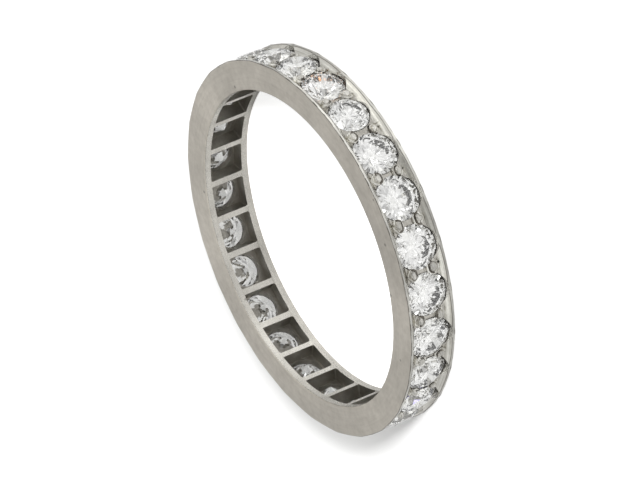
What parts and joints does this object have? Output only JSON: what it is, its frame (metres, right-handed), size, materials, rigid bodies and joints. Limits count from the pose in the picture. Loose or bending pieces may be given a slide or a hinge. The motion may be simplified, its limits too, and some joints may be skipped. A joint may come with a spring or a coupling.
{
  "type": "eternity ring",
  "caption": "Full eternity ring: a slim platinum band with round brilliant-cut stones grain set between two polished rims, and a pierced window behind each stone.",
  "frame": {"origin": "centre of the finger hole, on the flat side that the ring lies on", "axes": "+Z along the finger hole's axis, up from the flat side that it lies on; +X through the middle of the first stone"},
  "size_m": [0.0202, 0.0202, 0.0026],
  "materials": {
    "platinum": "satin flat sides with a fine grain, polished rims, bright-cut channel walls and grains",
    "diamond": "clear, polished flat facets"
  },
  "bodies": {
    "root": {"band": "platinum", "stone_01": "diamond", "stone_02": "diamond", "stone_03": "diamond", "stone_04": "diamond", "stone_05": "diamond", "stone_06": "diamond", "stone_07": "diamond", "stone_08": "diamond", "stone_09": "diamond", "stone_10": "diamond", "stone_11": "diamond", "stone_12": "diamond", "stone_13": "diamond", "stone_14": "diamond", "stone_15": "diamond", "stone_16": "diamond", "stone_17": "diamond", "stone_18": "diamond", "stone_19": "diamond", "stone_20": "diamond", "stone_21": "diamond", "stone_22": "diamond", "stone_23": "diamond", "stone_24": "diamond", "stone_25": "diamond", "stone_26": "diamond"}
  },
  "joints": []
}
